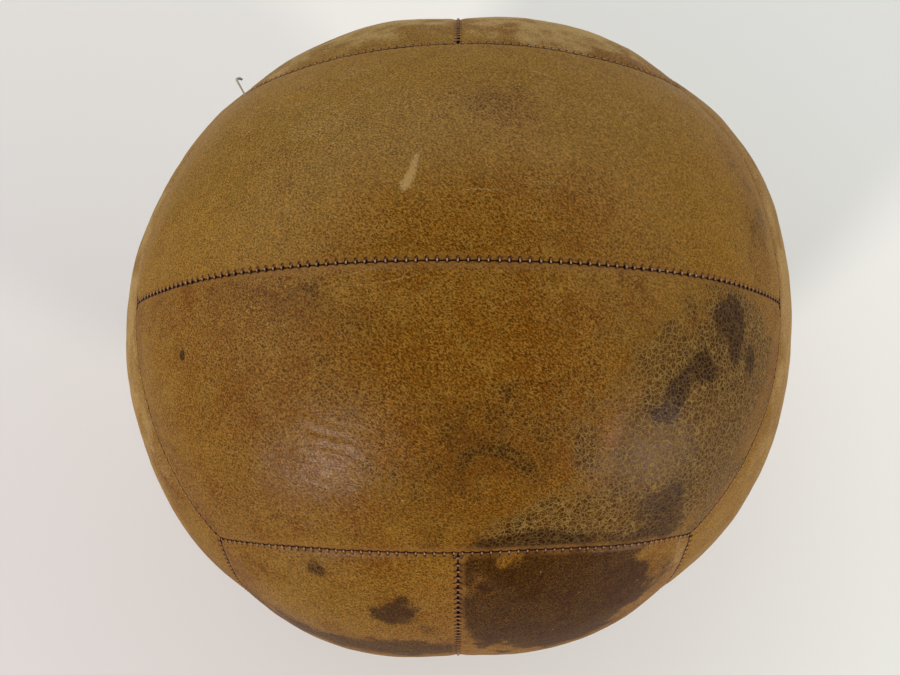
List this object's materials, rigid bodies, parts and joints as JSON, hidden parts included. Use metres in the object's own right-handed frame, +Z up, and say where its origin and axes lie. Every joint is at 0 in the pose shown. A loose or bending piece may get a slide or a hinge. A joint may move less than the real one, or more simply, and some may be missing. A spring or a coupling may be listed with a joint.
{
  "type": "medicine ball",
  "caption": "Leather medicine ball: stitched panels in crossed pairs over a linen bag packed with hair, settled on a small flat.",
  "frame": {"origin": "centre of the small flat that the ball rests on", "axes": "+Z up, X along the middle seam of the top pair of panels, Y across it towards the rear pair"},
  "size_m": [0.3, 0.3, 0.2965],
  "materials": {
    "leather": "worn vegetable-tanned cowhide, ochre brown, satin, paler and rubbed at the seams",
    "thread": "waxed linen thread, dark in the holes and pale where it is rubbed",
    "linen": "coarse plain-woven unbleached linen",
    "hair": "packed curled animal hair"
  },
  "bodies": {
    "root": {"top_rear_panel": "leather", "top_front_panel": "leather", "bottom_rear_panel": "leather", "bottom_front_panel": "leather", "right_upper_panel": "leather", "right_lower_panel": "leather", "left_upper_panel": "leather", "left_lower_panel": "leather", "rear_right_panel": "leather", "rear_left_panel": "leather", "front_right_panel": "leather", "front_left_panel": "leather", "top_middle_stitching": "thread", "bottom_middle_stitching": "thread", "right_middle_stitching": "thread", "left_middle_stitching": "thread", "rear_middle_stitching": "thread", "front_middle_stitching": "thread", "top_rear_stitching": "thread", "top_front_stitching": "thread", "bottom_rear_stitching": "thread", "bottom_front_stitching": "thread", "top_right_stitching": "thread", "bottom_right_stitching": "thread", "top_left_stitching": "thread", "bottom_left_stitching": "thread", "rear_right_stitching": "thread", "rear_left_stitching": "thread", "front_right_stitching": "thread", "front_left_stitching": "thread", "loose_thread_end": "thread", "linen_bag_right": "linen", "linen_bag_left": "linen", "linen_bag_thread": "thread", "hair_stuffing": "hair"}
  },
  "joints": []
}
